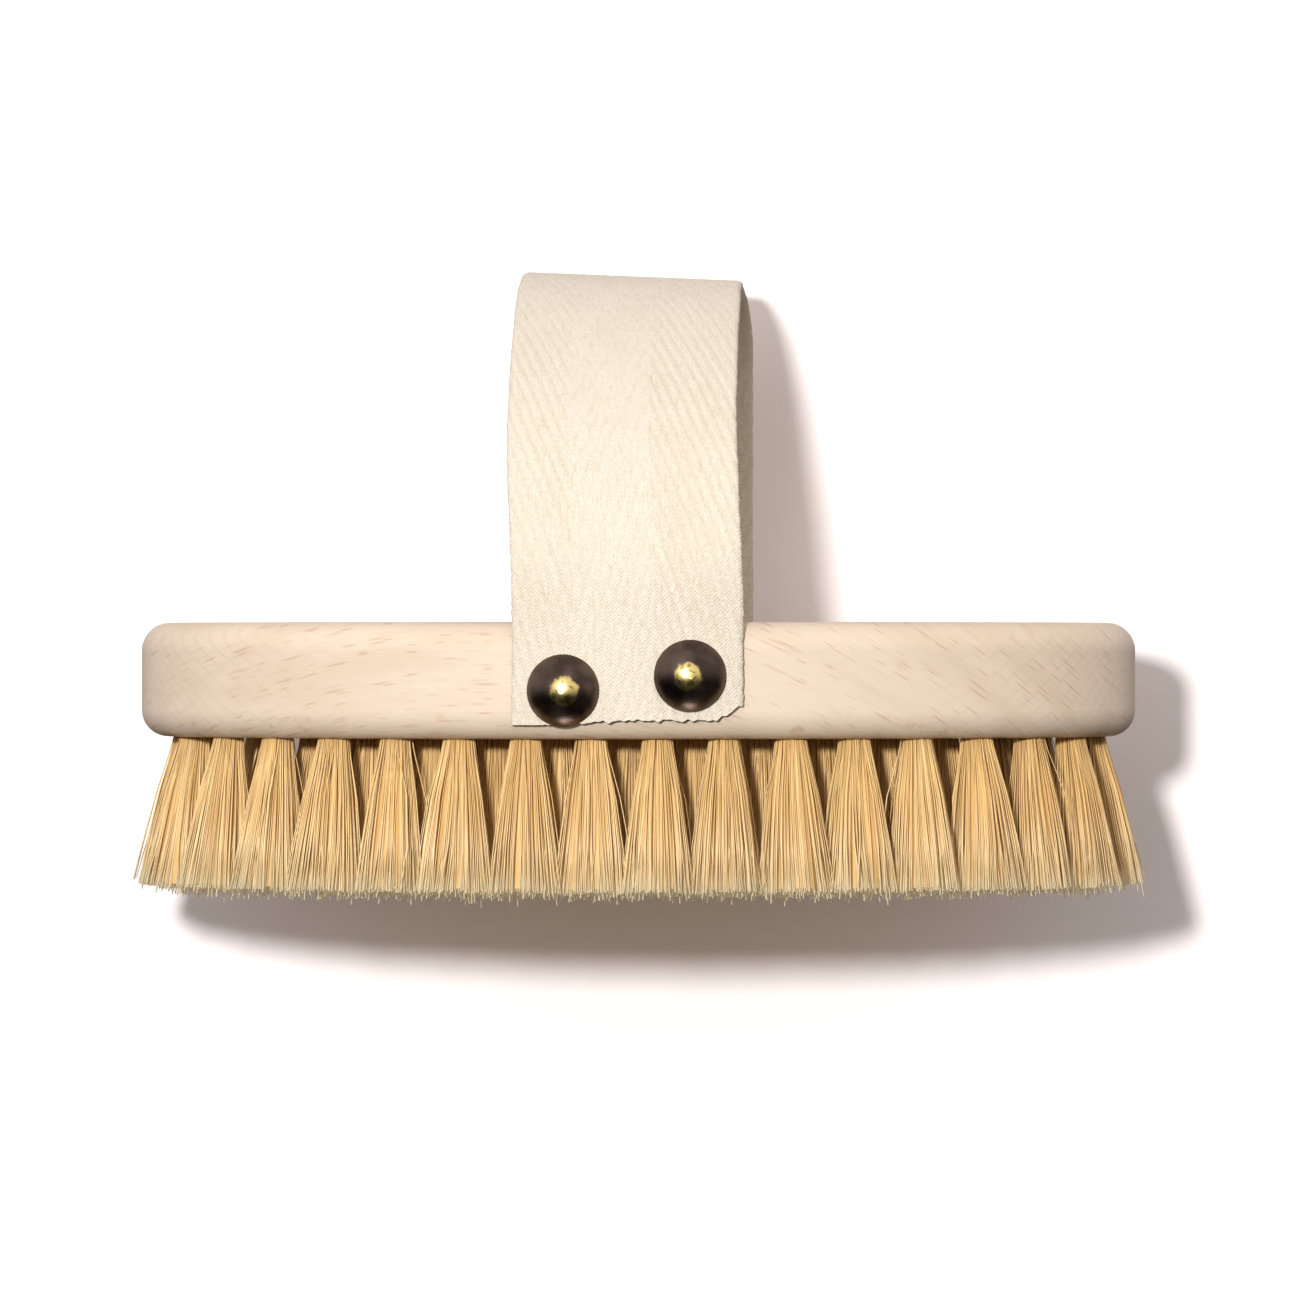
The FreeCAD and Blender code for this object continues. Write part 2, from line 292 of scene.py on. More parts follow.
BEECH_LIGHT = (0.635, 0.52, 0.405)
BEECH_DARK = (0.55, 0.43, 0.31)
BEECH_FLECK = (0.42, 0.225, 0.14)
# painted light: a paler colour for the block's ends, where they curve away from the light
BEECH_END_PAINTED_LIGHT = (0.74, 0.62, 0.54)
BEECH_KNOT = (0.50, 0.31, 0.16)
BEECH_ROUGHNESS = 0.55
BEECH_GLOSS = 0.3
BEECH_BANDS = Noise((60.0, 8.0, 5.0), 3.0, 0.5, 0.38, 0.7, 0.5)
BEECH_FIBRES = Noise((9.0, 3.0, 0.3), 2.0, 0.6, 0.45, 0.75, 0.3)
BEECH_KNOTS = Noise((3.2, 3.2, 2.0), 3.0, 0.6, 0.6, 0.72)
BEECH_PORES = Noise((1.6, 1.0, 0.16), 2.0, 0.6)
PORE_DEPTH = 0.03 * MM
PORE_STRENGTH = 0.5
KNOT_ZONE = 4.0 * MM  # above the block's lower edge
KNOT_FADE = ((0.5, 0.6), (1.0, 0.0))  # share of the zone's height, strength
RING_SPACING = 1.35  # in millimetres
RING_STRETCH = (14.0, 1.0, 1.0)
RING_CENTRE = (0.0, 66.0, -46.0)  # in millimetres, X divided by its stretch
RING_SWAY = Noise((30.0, 12.0, 12.0), 2.0, 0.5)
RING_SWAY_ANGLE = 11.0  # radians
RING_LINE = ((0.4, 0.0), (1.0, 1.0))  # level of the ring's wave, darkness
RING_CLEARNESS = ((0.5, 0.08), (0.9, 0.32))  # share of the block's half length, strength
# painted light: the block's ends are made paler towards their tips, where they curve away from the
# light
END_PAINTED_LIGHT = ((0.86, 0.0), (1.0, 1.0))  # share of the block's half length, strength
END_PAINTED_LIGHT_STRENGTH = 0.3
GRAIN_ARCH = 5.5  # per metre; the grain falls away towards both ends of the block
GRAIN_LEVEL_X = -20.0 * MM  # where the grain runs level
FLECK_SIZES = ((6.5, 8.0, 0.75), (4.6, 6.0, 0.6), (3.4, 4.0, 0.5))  # of their cells, in mm
FLECK_SHIFT = 7.3  # between the sets of flecks, in cells
FLECK_BODY = ((0.08, 1.0), (0.36, 0.0))  # distance from the cell's point, strength
FLECK_CHANCE = ((0.45, 0.0), (1.0, 1.0))  # the cell's own random number, strength
FLECK_STRENGTH = 0.5
COTTON_LIGHT = (0.72, 0.655, 0.54)
COTTON_DARK = (0.54, 0.445, 0.33)
COTTON_ROUGHNESS = 0.92
COTTON_GLOSS = 0.15
COTTON_SHEEN = 0.15
COTTON_YARN = Noise((0.26, 0.5, 1.0), 3.0, 0.65, 0.4, 0.72, 0.3)
COTTON_PATCHES = Noise((5.0, 9.0, 1.0), 2.0, 0.5, 0.4, 0.7, 0.12)
COTTON_SLUBS = Noise((0.5, 2.4, 1.0), 2.0, 0.5, 0.48, 0.7, 0.26)
BEAD_SIZES = (0.55, 0.5, 1.0)
BEAD_HEIGHT = 0.5
BEAD_SWAY_ANGLE = 9.0  # radians
BEAD_SHARE = 0.5  # of the beads in the yarn's relief
# painted shade: the webbing is darker in the grooves between its ribs
VALLEY_PAINTED_SHADE = ((0.0, 1.0), (0.75, 0.0))  # height on the ribs, darkness
VALLEY_PAINTED_SHADE_STRENGTH = 0.34
YARN_DEPTH = 0.2 * MM
YARN_STRENGTH = 0.85
# the fibres' own paler tip colour, and painted light for the light that translucent tips let
# through
FIBRE_TIP_PALE_AND_LIT = (0.96, 0.81, 0.52)
FIBRE_PALE = (0.91, 0.68, 0.35)
FIBRE_MID = (0.79, 0.52, 0.20)
FIBRE_DARK = (0.66, 0.40, 0.15)
FIBRE_ROUGHNESS = 0.5
FIBRE_GLOSS = 0.4
FIBRE_STREAKS = Noise((0.12, 0.12, 2.0), 2.0, 0.6, 0.4, 0.7, 0.2)
FIBRE_SHADES = ((0.0, FIBRE_DARK), (0.45, FIBRE_MID), (1.0, FIBRE_PALE))
# painted shade: the fibres are darker near their roots, under the block
FIBRE_ROOT_PAINTED_SHADE = ((0.0, 1.0), (0.3, 0.0))  # share of the fibre's length, darkness
FIBRE_ROOT_PAINTED_SHADE_STRENGTH = 0.3
# the fibres' own paler tips, and painted light towards the tips
FIBRE_END_PALE_AND_LIT = ((0.4, 0.0), (0.85, 0.42), (1.0, 0.95))  # share of the fibre's length, paleness


def beech():
    """Sanded beech: growth rings cut across at the ends, and short thin flecks along the grain; the
    ends are also made paler as painted light.
    """
    material, graph = new_material("beech")
    place = graph.object_place()
    axes = graph.node("ShaderNodeSeparateXYZ", {"Vector": place}).outputs
    run = graph.math("SUBTRACT", axes["X"], GRAIN_LEVEL_X)
    fall = graph.math("MULTIPLY", graph.math("MULTIPLY", run, run), GRAIN_ARCH)
    arched = graph.vector("ADD", place, graph.node("ShaderNodeCombineXYZ", {"Z": fall}).outputs[0])
    reach = graph.math("MULTIPLY", graph.math("ABSOLUTE", axes["X"]), 1.0 / HALF_LENGTH)

    bands = graph.mask(graph.noise(arched, BEECH_BANDS), BEECH_BANDS)
    colour = graph.mix(bands, BEECH_LIGHT, BEECH_DARK)
    sway = graph.math("MULTIPLY", graph.noise(place, RING_SWAY), RING_SWAY_ANGLE)
    away = graph.vector("DISTANCE", graph.scaled(place, RING_STRETCH), RING_CENTRE)
    turns = graph.math("MULTIPLY", away, 2 * math.pi / RING_SPACING)
    rings = graph.ramp(graph.math("SINE", graph.math("ADD", turns, sway)), RING_LINE)
    rings = graph.math("MULTIPLY", rings, graph.ramp(reach, RING_CLEARNESS))
    colour = graph.mix(rings, colour, BEECH_DARK)
    fibres = graph.mask(graph.noise(arched, BEECH_FIBRES), BEECH_FIBRES)
    colour = graph.mix(fibres, colour, BEECH_DARK)

    flecks = None
    for order, sizes in enumerate(FLECK_SIZES):
        shifted = graph.vector("ADD", graph.scaled(arched, sizes), (FLECK_SHIFT * order,) * 3)
        cells = graph.node("ShaderNodeTexVoronoi", {"Vector": shifted, "Scale": 1.0}).outputs
        near = graph.ramp(cells["Distance"], FLECK_BODY)
        own = graph.node("ShaderNodeSeparateColor", {"Color": cells["Color"]}).outputs[0]
        one = graph.math("MULTIPLY", near, graph.ramp(own, FLECK_CHANCE))
        flecks = one if flecks is None else graph.math("MAXIMUM", flecks, one)
    flecks = graph.math("MULTIPLY", flecks, FLECK_STRENGTH)
    colour = graph.mix(flecks, colour, BEECH_FLECK)

    rise = graph.math("SUBTRACT", axes["Z"], BLOCK_BOTTOM)
    rise = graph.math("MULTIPLY", rise, 1.0 / KNOT_ZONE)
    knots = graph.mask(graph.noise(place, BEECH_KNOTS), BEECH_KNOTS)
    knots = graph.math("MULTIPLY", knots, graph.ramp(rise, KNOT_FADE))
    colour = graph.mix(knots, colour, BEECH_KNOT)
    # painted light: paler colour towards both ends of the block, where they curve away from the
    # light
    end_painted_light = graph.math("MULTIPLY", graph.ramp(reach, END_PAINTED_LIGHT), END_PAINTED_LIGHT_STRENGTH)
    colour = graph.mix(end_painted_light, colour, BEECH_END_PAINTED_LIGHT)
    relief = graph.math("SUBTRACT", graph.noise(arched, BEECH_PORES), flecks)
    normal = graph.bump(relief, PORE_DEPTH, PORE_STRENGTH)
    graph.surface(colour, BEECH_ROUGHNESS, normal, Specular_IOR_Level=BEECH_GLOSS)
    return material


def cotton():
    """Natural cotton yarn; the weave's own coordinates travel with the webbing."""
    material, graph = new_material("cotton_webbing")
    relief = graph.node("ShaderNodeAttribute", attribute_name="relief").outputs["Fac"]
    weave = graph.node("ShaderNodeAttribute", attribute_name="weave").outputs["Vector"]
    yarn = graph.noise(weave, COTTON_YARN)
    patches = graph.noise(weave, COTTON_PATCHES)
    slubs = graph.noise(weave, COTTON_SLUBS)
    steps = graph.node("ShaderNodeSeparateXYZ", {"Vector": graph.scaled(weave, BEAD_SIZES)})
    beads = BEAD_HEIGHT
    for way in ("X", "Y"):
        turn = graph.math("MULTIPLY", steps.outputs[way], 2 * math.pi)
        turn = graph.math("ADD", turn, graph.math("MULTIPLY", slubs, BEAD_SWAY_ANGLE))
        beads = graph.math("MULTIPLY", beads, graph.math("SINE", turn))
    # painted shade: darker colour in the grooves between the ribs, from the relief's height
    valley_painted_shade = graph.math("MULTIPLY", graph.ramp(relief, VALLEY_PAINTED_SHADE), VALLEY_PAINTED_SHADE_STRENGTH)
    colour = graph.mix(valley_painted_shade, COTTON_LIGHT, COTTON_DARK)
    for noise, kind in ((yarn, COTTON_YARN), (patches, COTTON_PATCHES), (slubs, COTTON_SLUBS)):
        colour = graph.mix(graph.mask(noise, kind), colour, COTTON_DARK)
    height = graph.math("ADD", yarn, graph.math("MULTIPLY", beads, BEAD_SHARE))
    normal = graph.bump(height, YARN_DEPTH, YARN_STRENGTH)
    graph.surface(colour, COTTON_ROUGHNESS, normal,
                  Specular_IOR_Level=COTTON_GLOSS, Sheen_Weight=COTTON_SHEEN)
    return material


def bristle():
    """Blonde plant fibre: each fibre has its own shade; its tip is paler, partly its own colour and
    partly painted light, and its root has painted shade.
    """
    material, graph = new_material("bristle")
    shade = graph.node("ShaderNodeAttribute", attribute_name="shade").outputs["Fac"]
    along = graph.node("ShaderNodeAttribute", attribute_name="along").outputs["Fac"]
    colour = graph.ramp(shade, FIBRE_SHADES)
    streaks = graph.mask(graph.noise(graph.object_place(), FIBRE_STREAKS), FIBRE_STREAKS)
    colour = graph.mix(streaks, colour, FIBRE_DARK)
    # painted shade: darker colour near the roots of the fibres, under the block
    root = graph.math("MULTIPLY", graph.ramp(along, FIBRE_ROOT_PAINTED_SHADE), FIBRE_ROOT_PAINTED_SHADE_STRENGTH)
    colour = graph.mix(root, colour, FIBRE_DARK)
    # paler towards the tips: partly the fibres' own colour, partly painted light
    colour = graph.mix(graph.ramp(along, FIBRE_END_PALE_AND_LIT), colour, FIBRE_TIP_PALE_AND_LIT)
    graph.surface(colour, FIBRE_ROUGHNESS, Specular_IOR_Level=FIBRE_GLOSS)
    return material


# ---- Bristles, on the same pattern of holes as the CAD model ----

TUFT_PITCH = 8.8 * MM
RING_EDGE_INSET = 6.2 * MM
OUTER_RING_HALF_DEPTH = 31.0 * MM
RING_NAMES = ("outer_ring", "second_ring", "third_ring")
RING_START_X = (2.6 * MM, -1.4 * MM, 2.4 * MM)
CENTRE_ROW_TUFTS = 8
OUTER_TUFT_TILT = math.radians(7.0)
TUFT_ROOT_RADIUS = 1.68 * MM
TUFT_TIP_RADIUS = 4.5 * MM
TUFT_FLARE = 0.72  # below 1, so a tuft widens fastest just below its hole
FIBRE_RADIUS = 0.09 * MM
FIBRE_GIRTHS = (0.75, 1.2)  # of the fibres, as shares of their radius
FIBRE_STATIONS = (-0.12, 0.1, 0.38, 0.7, 1.0)
FIBRE_SIDES = 3
FIBRES_PER_TUFT = {"outer_ring": 360, "second_ring": 230, "third_ring": 170, "centre_row": 150}
CORE_SHARE = 0.76  # of the tuft's radius, taken up by its tightly packed middle
CORE_STATIONS = (-0.1, 0.1, 0.4, 0.97)
CORE_SIDES = 10
CORE_SPREAD = 0.05
CORE_SHADE = 0.4
CORE_ALONG = 0.6  # the core's colour runs through this share of a fibre's colours
# painted light: stray and proud fibres get a paler colour for the light they catch
LOOSE_PAINTED_LIGHT = 0.3  # stray and proud fibres catch more light
FIBRE_SHADE = 0.55
FIBRE_SHADE_SPREAD = 0.15
TUFT_SHADE_SPREAD = 0.04
LOCKS_PER_TUFT = 16
LOCK_REACH = 0.9  # of the tuft's radius
LOCK_TIP_SPREAD = 0.34 * MM
LOCK_BOW_SPREAD = 0.2 * MM
FIBRE_CROWDING = 0.25  # power of a fibre's share; below 0.5 the fibres crowd at the tuft's outside
FIBRE_ANGLE_SPREAD = 0.1
FIBRE_REACH_SPREAD = 0.06
FIBRE_TIP_SPREAD = 0.2 * MM
FIBRE_BOW_SPREAD = 0.14 * MM
STRAY_SHARE = 0.03
STRAY_REACH = 2.2 * MM
STRAY_BOW_SPREAD = 0.6 * MM
PROUD_SHARE = 0.12  # fibres that the trimming has left a little long
TRIM_SPREAD = 0.25 * MM
PROUD_SPREAD = 0.5 * MM
TUFT_SEEDS = {
    "outer_ring_front": 21, "outer_ring_back": 22,
    "second_ring": 12, "third_ring": 13, "centre_row": 14,
}
ELLIPSE_STEPS = 3600
GOLDEN_ANGLE = math.pi * (3 - math.sqrt(5))


def ring_places(half_length, half_depth, start_x):
    """Evenly spaced (point, outward normal) along an ellipse, from start_x on the front side."""
    steps = ELLIPSE_STEPS
    angles = [2 * math.pi * i / steps - math.pi / 2 for i in range(steps + 1)]
    points = [(half_length * math.cos(a), half_depth * math.sin(a)) for a in angles]
    travelled = [0.0]
    for before, after in zip(points, points[1:]):
        travelled.append(travelled[-1] + math.dist(before, after))
    count = round(travelled[-1] / TUFT_PITCH)
    places = []
    for i in range(count):
        target = (start_x + i * travelled[-1] / count) % travelled[-1]
        nearest = min(range(steps), key=lambda k: abs(travelled[k] - target))
        x, y = points[nearest]
        normal = Vector((x / half_length**2, y / half_depth**2, 0)).normalized()
        places.append((Vector((x, y, BLOCK_BOTTOM)), normal))
    return places


def tuft_field():
    """Each group's name and its list of (hole mouth, direction of the bristles)."""
    outer_half_length = HALF_LENGTH - RING_EDGE_INSET
    spacing = OUTER_RING_HALF_DEPTH / len(RING_NAMES)
    down = Vector((0, 0, -1))
    field = {}
    for ring, name in enumerate(RING_NAMES):
        inset = ring * spacing
        tilt = OUTER_TUFT_TILT * (1 - ring / len(RING_NAMES))
        places = ring_places(
            outer_half_length - inset, OUTER_RING_HALF_DEPTH - inset, RING_START_X[ring]
        )
        field[name] = [(p, n * math.sin(tilt) + down * math.cos(tilt)) for p, n in places]
    row_half = outer_half_length - OUTER_RING_HALF_DEPTH
    row_step = 2 * row_half / (CENTRE_ROW_TUFTS - 1)
    field["centre_row"] = [
        (Vector((i * row_step - row_half, 0, BLOCK_BOTTOM)), down)
        for i in range(CENTRE_ROW_TUFTS)
    ]
    return field


def across_axes(direction):
    """Two directions square to the bristles' direction and to each other."""
    side = direction.cross(Vector((0, 1, 0))).normalized()
    return side, direction.cross(side).normalized()


def fibre_line(rng, mouth, direction, order, count, locks):
    """Points of one fibre from inside its hole to its tip, and whether it is a loose one.

    A lock is a row of three pairs: its place in the tuft, and the shift and the bow of its fibres.
    """
    side, other = across_axes(direction)
    radius = ((order + 0.5) / count) ** FIBRE_CROWDING
    angle = order * GOLDEN_ANGLE + rng.normal(0, FIBRE_ANGLE_SPREAD)
    outward = np.array([math.cos(angle), math.sin(angle)])
    root = outward * radius * TUFT_ROOT_RADIUS
    lock = min(range(len(locks)), key=lambda k: np.sum((locks[k][:2] - outward * radius) ** 2))
    tip = outward * radius * (1 + rng.normal(0, FIBRE_REACH_SPREAD)) * TUFT_TIP_RADIUS
    tip += locks[lock][2:4] + rng.normal(0, FIBRE_TIP_SPREAD, 2)
    bow = locks[lock][4:6] + rng.normal(0, FIBRE_BOW_SPREAD, 2)
    stray, proud = rng.random() < STRAY_SHARE, rng.random() < PROUD_SHARE
    if stray:
        tip += rng.uniform(-STRAY_REACH, STRAY_REACH, 2)
        bow += rng.normal(0, STRAY_BOW_SPREAD, 2)
    reach = mouth.z / -direction.z
    length = reach - abs(rng.normal(0, TRIM_SPREAD))
    if proud:
        length = reach + abs(rng.normal(0, PROUD_SPREAD))
    points = []
    for t in FIBRE_STATIONS:
        free = max(t, 0.0)
        offset = root + (tip - root) * free**TUFT_FLARE + bow * math.sin(math.pi * free)
        points.append(mouth + direction * (length * t) + side * offset[0] + other * offset[1])
    return points, stray or proud


def core_rings(rng, mouth, direction):
    """Rings of points round the tightly packed middle of a tuft, out of sight among its fibres."""
    side, other = across_axes(direction)
    reach = mouth.z / -direction.z
    girths = CORE_SHARE * (1 + rng.normal(0, CORE_SPREAD, CORE_SIDES))
    rings = []
    for t in CORE_STATIONS:
        flare = max(t, 0.0) ** TUFT_FLARE
        radius = TUFT_ROOT_RADIUS + (TUFT_TIP_RADIUS - TUFT_ROOT_RADIUS) * flare
        rings.append([
            mouth + direction * (reach * t)
            + side * (girth * radius * math.cos(2 * math.pi * k / CORE_SIDES))
            + other * (girth * radius * math.sin(2 * math.pi * k / CORE_SIDES))
            for k, girth in enumerate(girths)
        ])
    return rings


def tube_faces(first, sides, rows):
    """Faces of a closed tube of rings of points from the index first on, and which are smooth."""
    faces = []
    for row in range(rows - 1):
        for k in range(sides):
            a = first + row * sides + k
            b = first + row * sides + (k + 1) % sides
            faces.append((b, a, a + sides, b + sides))
    last = first + (rows - 1) * sides
    faces.append(tuple(first + k for k in range(sides)))
    faces.append(tuple(last + k for k in reversed(range(sides))))
    return faces, [True] * (len(faces) - 2) + [False, False]


def tuft_mesh(name, ring, places, material):
    """One mesh of all the fibres and cores of the tufts at these places, which belong to a ring."""
    rng = np.random.default_rng(TUFT_SEEDS[name])
    vertices, faces, smooths, shades, alongs = [], [], [], [], []
    count = FIBRES_PER_TUFT[ring]
    ring_angles = [2 * math.pi * k / FIBRE_SIDES for k in range(FIBRE_SIDES)]
    for mouth, direction in places:
        tuft_shade = rng.normal(0, TUFT_SHADE_SPREAD)
        locks = np.concatenate([
            rng.uniform(-LOCK_REACH, LOCK_REACH, (LOCKS_PER_TUFT, 2)),
            rng.normal(0, LOCK_TIP_SPREAD, (LOCKS_PER_TUFT, 2)),
            rng.normal(0, LOCK_BOW_SPREAD, (LOCKS_PER_TUFT, 2)),
        ], axis=1)
        new_faces, new_smooths = tube_faces(len(vertices), CORE_SIDES, len(CORE_STATIONS))
        faces += new_faces
        smooths += new_smooths
        for t, points in zip(CORE_STATIONS, core_rings(rng, mouth, direction)):
            vertices += [tuple(point) for point in points]
            shades += [CORE_SHADE] * CORE_SIDES
            alongs += [CORE_ALONG * max(t, 0.0)] * CORE_SIDES
        for order in range(count):
            points, loose = fibre_line(rng, mouth, direction, order, count, locks)
            # painted light: loose fibres are made paler
            shade = rng.normal(FIBRE_SHADE, FIBRE_SHADE_SPREAD) + tuft_shade + LOOSE_PAINTED_LIGHT * loose
            shade = min(max(shade, 0.0), 1.0)
            girth = FIBRE_RADIUS * rng.uniform(*FIBRE_GIRTHS)
            turn = rng.uniform(0, math.pi)
            new_faces, new_smooths = tube_faces(len(vertices), FIBRE_SIDES, len(FIBRE_STATIONS))
            faces += new_faces
            smooths += new_smooths
            for t, point in zip(FIBRE_STATIONS, points):
                for angle in ring_angles:
                    vertices.append((
                        point.x + girth * math.cos(angle + turn),
                        point.y + girth * math.sin(angle + turn),
                        point.z,
                    ))
                    shades.append(shade)
                    alongs.append(max(t, 0.0))
    mesh = bpy.data.meshes.new(f"bristles_{name}")
    mesh.from_pydata(vertices, [], faces)
    for key, values in (("shade", shades), ("along", alongs)):
        mesh.attributes.new(key, "FLOAT", "POINT").data.foreach_set("value", values)
    mesh.polygons.foreach_set("use_smooth", smooths)
    mesh.materials.append(material)
    piece = add_object(f"bristles_{name}", mesh)
    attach(piece, "root")
    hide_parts(f"tufts_{ring}")


def add_bristles(material):
    """A piece for each ring of tufts, and two for the outer ring, which is the largest."""
    for ring, places in tuft_field().items():
        if ring == "outer_ring":
            front = [place for place in places if place[0].y < 0]
            back = [place for place in places if place[0].y >= 0]
            tuft_mesh("outer_ring_front", ring, front, material)
            tuft_mesh("outer_ring_back", ring, back, material)
        else:
            tuft_mesh(ring, ring, places, material)


# ---- Webbing ----

WEB_WIDTH = 30.3 * MM
WEB_THICKNESS = 1.4 * MM
WEB_SKEW = math.radians(-1.8)
WEB_CENTRE_X = -0.2 * MM
LOOP_SET_BACK = 22.0 * MM  # of the crown behind the block's middle
LOOP_FRONT_RADIUS = 38.0 * MM
PIECE_SEAM_Z = 46.0 * MM  # the ends stop here and the loop starts
OUTER_COLUMNS = 200
INNER_COLUMNS = 56
ROW_STEP = 0.33 * MM
EDGE_ROUND = 0.8 * MM
RIB_PITCH = 1.5 * MM
RIB_SLOPE = math.tan(math.radians(72))
RIB_HEIGHT = 0.2 * MM
RIB_SHARPNESS = 0.9
RIB_WANDER = 0.05  # of the pitch
RIB_UNEVENNESS = 0.2
UNEVEN_SLANT = 3  # of its waves, so that they don't run straight across
# each band's right-hand edge as a share of the width, the side to which it lies, and its depth
RIB_BANDS = ((0.27, 1, 0.9), (0.62, -1, 0.6), (1.01, 1, 1.0))
RIB_BANDS_START = -0.01
FLOAT_LENGTH = 1.3 * MM  # of the yarn's floats along a rib
FLOAT_STAGGER = 0.37  # from one rib to the next
FLOAT_SHARE = 0.5  # of the floats in the ribs' height
# sets of waves: how many, the shortest and the longest
WANDER_WAVES = (4, 6 * MM, 40 * MM)
UNEVEN_WAVES = (3, 2 * MM, 9 * MM)
FRAY_WAVES = (5, 1.1 * MM, 4.5 * MM)
EDGE_WAVES = ((4, 1.1 * MM, 3 * MM), (3, 9 * MM, 40 * MM))
EDGE_WAVE_HEIGHT = 0.04 * MM
EDGE_ZONE = (0.3, 0.5)  # where the edges' waves start and are full, from the middle, of the width
EDGE_THINNING = 0.93
FRAY_HEIGHT = 0.14 * MM
# how high each cut edge lies, as (place across, height above its nominal level) in millimetres
FRONT_CUT = ((-15.0, -0.25), (0.0, 0.6), (11.5, 0.6), (15.2, 2.6))
BACK_CUT = ((-15.0, 0.5), (15.0, -0.1))
WEAVE_SEED = 3
EDGE_SEEDS = (5, 6)
BOW = -1.15 * MM  # sideways lie of the front and the crown, reached between the two heights
BOW_START_Z = 36.0 * MM
BOW_FULL_Z = 66.0 * MM
CROWN_WEAR = 0.6  # how far the ribs are flattened on the crown
CROWN_WEAR_Z = 68.0 * MM
CROWN_TILT = 0.042  # the crown's right-hand side lies lower
CROWN_TILT_START_Z = BLOCK_TOP + 20 * MM
HUG_FULL_Z = BLOCK_TOP - 3 * MM  # the webbing follows the block's curved side up to this level
HUG_END_Z = BLOCK_TOP + 14 * MM  # and is flat across above this one
CUT_REACH = 6.0 * MM  # how far along the webbing its cut edge's shape is felt
LEAST_LENGTH = 1e-12  # keeps the length of a normal from being 0


def smooth(values, low, high):
    """Smoothstep from 0 at low to 1 at high."""
    t = np.clip((values - low) / (high - low), 0, 1)
    return t * t * (3 - 2 * t)


def loop_path():
    """Centreline of the webbing in the YZ plane as (distance, y, z, normal y, normal z)."""
    span = HALF_DEPTH + WEB_THICKNESS / 2
    apex_z = LOOP_TOP - WEB_THICKNESS / 2
    height = apex_z - BLOCK_TOP
    reach = span + LOOP_SET_BACK
    front = LOOP_FRONT_RADIUS
    crown = (height**2 + reach**2 - 2 * front * reach) / (2 * (height - front))
    crown_z = apex_z - crown
    join = math.atan2(BLOCK_TOP - crown_z, front - span - LOOP_SET_BACK)
    back = span - LOOP_SET_BACK
    back_z = apex_z - back
    runs = (  # start point, or centre and radius with the first normal's angle, and the length
        ("line", -span, TAB_END_Z, 1, math.pi, BLOCK_TOP - TAB_END_Z),
        ("arc", front - span, BLOCK_TOP, front, math.pi, front * (math.pi - join)),
        ("arc", LOOP_SET_BACK, crown_z, crown, join, crown * (join - math.pi / 2)),
        ("arc", LOOP_SET_BACK, back_z, back, math.pi / 2, back * math.pi / 2),
        ("line", span, back_z, -1, 0.0, back_z - TAB_END_Z),
    )
    starts = np.concatenate([[0.0], np.cumsum([run[-1] for run in runs])])
    rows = int(round(starts[-1] / ROW_STEP))
    s = np.linspace(0, starts[-1], rows + 1)
    y, z, angle = np.empty_like(s), np.empty_like(s), np.empty_like(s)
    for (kind, run_y, run_z, size, first, _), low, high in zip(runs, starts, starts[1:]):
        inside = (s >= low) & (s <= high)
        gone = s[inside] - low
        if kind == "line":
            y[inside], z[inside], angle[inside] = run_y, run_z + size * gone, first
        else:
            angle[inside] = first - gone / size
            y[inside] = run_y + size * np.cos(angle[inside])
            z[inside] = run_z + size * np.sin(angle[inside])
    return s, y, z, np.cos(angle), np.sin(angle)


def waves(values, rng, count, shortest, longest):
    """Sum of sine waves with random phases, about 1 high."""
    total = np.zeros_like(values)
    for length in np.geomspace(shortest, longest, count):
        total += np.sin(2 * math.pi * (values / length + rng.random()))
    return total / math.sqrt(count)


def herringbone(u, s, rng):
    """Height of the ribs from 0 to 1, in three bands that lie in turn to one side and the other."""
    share = u / WEB_WIDTH + 0.5
    lie, depth = np.zeros_like(u), np.ones_like(u)
    low = RIB_BANDS_START
    for high, sign, strength in RIB_BANDS:
        lie[(share >= low) & (share < high)] = sign
        depth[(share >= low) & (share < high)] = strength
        low = high
    wander = waves(s, rng, *WANDER_WAVES) * RIB_WANDER
    phase = (u + lie * s / RIB_SLOPE) / RIB_PITCH + wander
    ridge = np.abs(np.cos(math.pi * phase)) ** RIB_SHARPNESS
    turns = s / FLOAT_LENGTH + FLOAT_STAGGER * np.floor(phase)
    floats = 0.5 + 0.5 * np.cos(2 * math.pi * turns)
    uneven = 1 - RIB_UNEVENNESS
    uneven = uneven + RIB_UNEVENNESS * waves(s + UNEVEN_SLANT * u, rng, *UNEVEN_WAVES)
    height = ((1 - FLOAT_SHARE) * ridge + FLOAT_SHARE * floats * ridge) * uneven
    return 1 - depth * (1 - np.clip(height, 0, 1))


def cut_edge(u, cut, rng):
    """How far a cut edge lies above its nominal level, across the width."""
    across, levels = ([value * MM for value in column] for column in zip(*cut))
    fray = waves(u, rng, *FRAY_WAVES) * FRAY_HEIGHT
    return np.interp(u, across, levels) + fray


